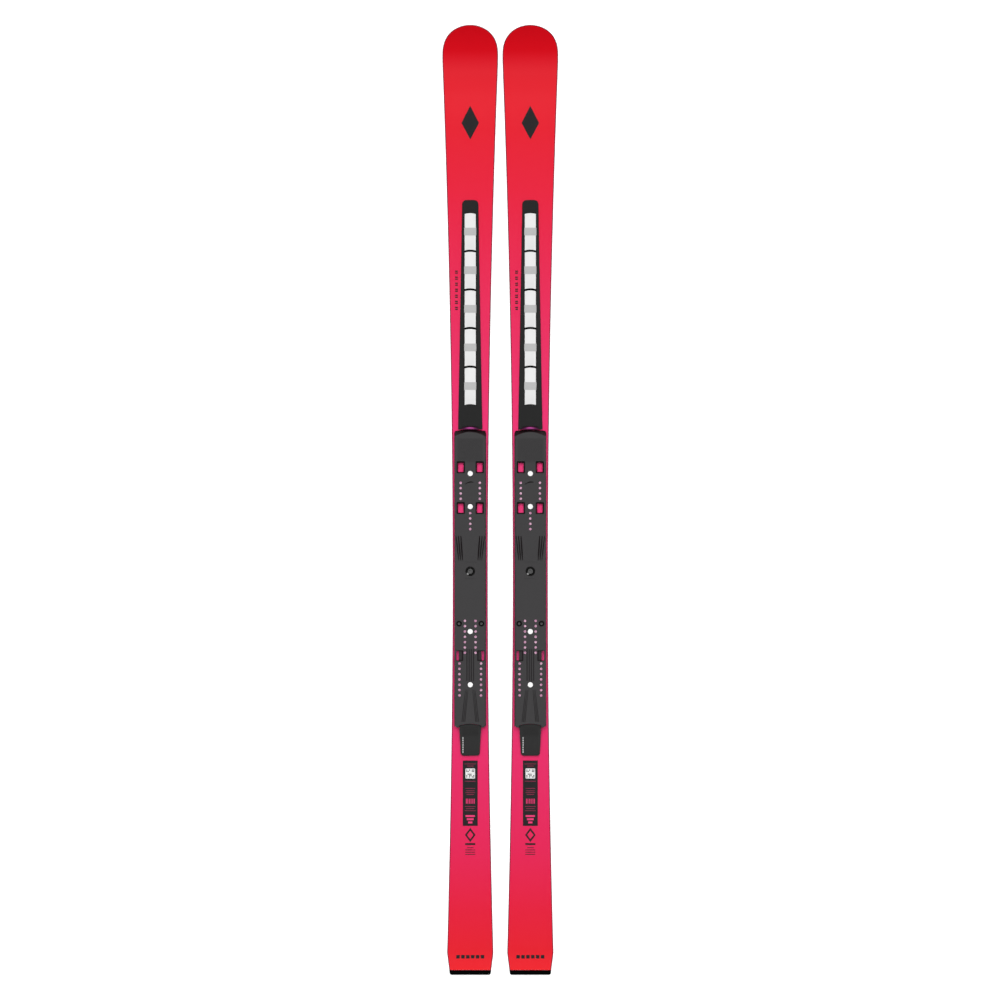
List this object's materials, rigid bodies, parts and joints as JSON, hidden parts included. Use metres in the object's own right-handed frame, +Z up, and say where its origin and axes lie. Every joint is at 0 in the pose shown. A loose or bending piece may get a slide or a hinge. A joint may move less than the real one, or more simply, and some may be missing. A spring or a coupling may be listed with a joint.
{
  "type": "alpine skis",
  "caption": "Pair of giant slalom racing skis with sidecut, camber and upturned tips, each with a sprung shock insert and a raised plate drilled for a race binding.",
  "frame": {"origin": "midway between the two skis, under the middle of their length, on the surface that they lie on", "axes": "+X across the skis to the right one, +Y along them to the tips, +Z up out of the top sheets"},
  "size_m": [0.2176, 1.7859, 0.0563],
  "materials": {
    "top_sheet_red": "satin printed top sheet, red at tip and tail and magenta-pink in the middle",
    "running_base": "stone-ground sintered black base",
    "edge_steel": "filed steel edge",
    "laminate_metal": "sanded aluminium alloy sheet",
    "core_wood": "laminated ash strips",
    "sidewall_black": "planed black sidewall",
    "carrier_black": "fine-grained moulded plastic",
    "blade_white": "satin white moulded plastic",
    "elastomer_grey": "matt grey elastomer",
    "elastomer_violet": "matt violet elastomer",
    "plate_grey": "charcoal moulded plastic with a fine diamond grain",
    "tongue_grey": "dark moulded plastic with a diamond grain",
    "cap_white": "white coated screw head",
    "screw_black": "black coated steel"
  },
  "bodies": {
    "left_ski": {"left_base_sheet": "running_base", "left_steel_edge_inner": "edge_steel", "left_steel_edge_outer": "edge_steel", "left_lower_metal_sheet": "laminate_metal", "left_wood_core": "core_wood", "left_sidewall_inner": "sidewall_black", "left_sidewall_outer": "sidewall_black", "left_upper_metal_sheet": "laminate_metal", "left_tip_insert": "sidewall_black", "left_top_sheet": "top_sheet_red", "left_tail_protector": "sidewall_black", "left_damper_carrier": "carrier_black", "left_damper_elastomer": "elastomer_grey", "left_plate_bumper": "elastomer_violet", "left_race_plate": "plate_grey", "left_plate_tongue": "tongue_grey", "left_plate_screw_1": "cap_white", "left_plate_screw_2": "cap_white", "left_plate_screw_3": "cap_white", "left_plate_screw_4": "cap_white", "left_rear_screw_inner": "screw_black", "left_rear_screw_outer": "screw_black", "left_centre_screw": "screw_black", "left_cup_washer": "screw_black"},
    "left_damper_blade_1": {"left_damper_blade_1": "blade_white"},
    "left_damper_blade_2": {"left_damper_blade_2": "blade_white"},
    "left_damper_blade_3": {"left_damper_blade_3": "blade_white"},
    "left_damper_blade_4": {"left_damper_blade_4": "blade_white"},
    "left_damper_blade_5": {"left_damper_blade_5": "blade_white"},
    "right_ski": {"right_base_sheet": "running_base", "right_steel_edge_inner": "edge_steel", "right_steel_edge_outer": "edge_steel", "right_lower_metal_sheet": "laminate_metal", "right_wood_core": "core_wood", "right_sidewall_inner": "sidewall_black", "right_sidewall_outer": "sidewall_black", "right_upper_metal_sheet": "laminate_metal", "right_tip_insert": "sidewall_black", "right_top_sheet": "top_sheet_red", "right_tail_protector": "sidewall_black", "right_damper_carrier": "carrier_black", "right_damper_elastomer": "elastomer_grey", "right_plate_bumper": "elastomer_violet", "right_race_plate": "plate_grey", "right_plate_tongue": "tongue_grey", "right_plate_screw_1": "cap_white", "right_plate_screw_2": "cap_white", "right_plate_screw_3": "cap_white", "right_plate_screw_4": "cap_white", "right_rear_screw_inner": "screw_black", "right_rear_screw_outer": "screw_black", "right_centre_screw": "screw_black", "right_cup_washer": "screw_black"},
    "right_damper_blade_1": {"right_damper_blade_1": "blade_white"},
    "right_damper_blade_2": {"right_damper_blade_2": "blade_white"},
    "right_damper_blade_3": {"right_damper_blade_3": "blade_white"},
    "right_damper_blade_4": {"right_damper_blade_4": "blade_white"},
    "right_damper_blade_5": {"right_damper_blade_5": "blade_white"}
  },
  "joints": [
    {"name": "right_ski_part", "type": "slide", "parent": "left_ski", "child": "right_ski", "axis": [1, 0, 0], "range_m": [0, 0.25]},
    {"name": "left_blade_slide_5", "type": "slide", "parent": "left_ski", "child": "left_damper_blade_5", "axis": [0, 1, 0], "range_m": [-0.001, 0.001], "stiffness_N_per_m": 2000},
    {"name": "left_blade_slide_4", "type": "slide", "parent": "left_ski", "child": "left_damper_blade_4", "axis": [0, 1, 0], "range_m": [-0.001, 0.001]},
    {"name": "left_blade_slide_3", "type": "slide", "parent": "left_ski", "child": "left_damper_blade_3", "axis": [0, 1, 0], "range_m": [-0.001, 0.001]},
    {"name": "left_blade_slide_2", "type": "slide", "parent": "left_ski", "child": "left_damper_blade_2", "axis": [0, 1, 0], "range_m": [-0.001, 0.001]},
    {"name": "left_blade_slide_1", "type": "slide", "parent": "left_ski", "child": "left_damper_blade_1", "axis": [0, 1, 0], "range_m": [-0.001, 0.001]},
    {"name": "right_blade_slide_5", "type": "slide", "parent": "right_ski", "child": "right_damper_blade_5", "axis": [0, 1, 0], "range_m": [-0.001, 0.001], "stiffness_N_per_m": 2000},
    {"name": "right_blade_slide_4", "type": "slide", "parent": "right_ski", "child": "right_damper_blade_4", "axis": [0, 1, 0], "range_m": [-0.001, 0.001]},
    {"name": "right_blade_slide_3", "type": "slide", "parent": "right_ski", "child": "right_damper_blade_3", "axis": [0, 1, 0], "range_m": [-0.001, 0.001]},
    {"name": "right_blade_slide_2", "type": "slide", "parent": "right_ski", "child": "right_damper_blade_2", "axis": [0, 1, 0], "range_m": [-0.001, 0.001]},
    {"name": "right_blade_slide_1", "type": "slide", "parent": "right_ski", "child": "right_damper_blade_1", "axis": [0, 1, 0], "range_m": [-0.001, 0.001]}
  ],
  "couplings": [
    {"joint": "left_blade_slide_4", "follows": "left_blade_slide_5", "ratio": 1},
    {"joint": "left_blade_slide_3", "follows": "left_blade_slide_5", "ratio": 1},
    {"joint": "left_blade_slide_2", "follows": "left_blade_slide_5", "ratio": 1},
    {"joint": "left_blade_slide_1", "follows": "left_blade_slide_5", "ratio": 1},
    {"joint": "right_blade_slide_4", "follows": "right_blade_slide_5", "ratio": 1},
    {"joint": "right_blade_slide_3", "follows": "right_blade_slide_5", "ratio": 1},
    {"joint": "right_blade_slide_2", "follows": "right_blade_slide_5", "ratio": 1},
    {"joint": "right_blade_slide_1", "follows": "right_blade_slide_5", "ratio": 1}
  ]
}
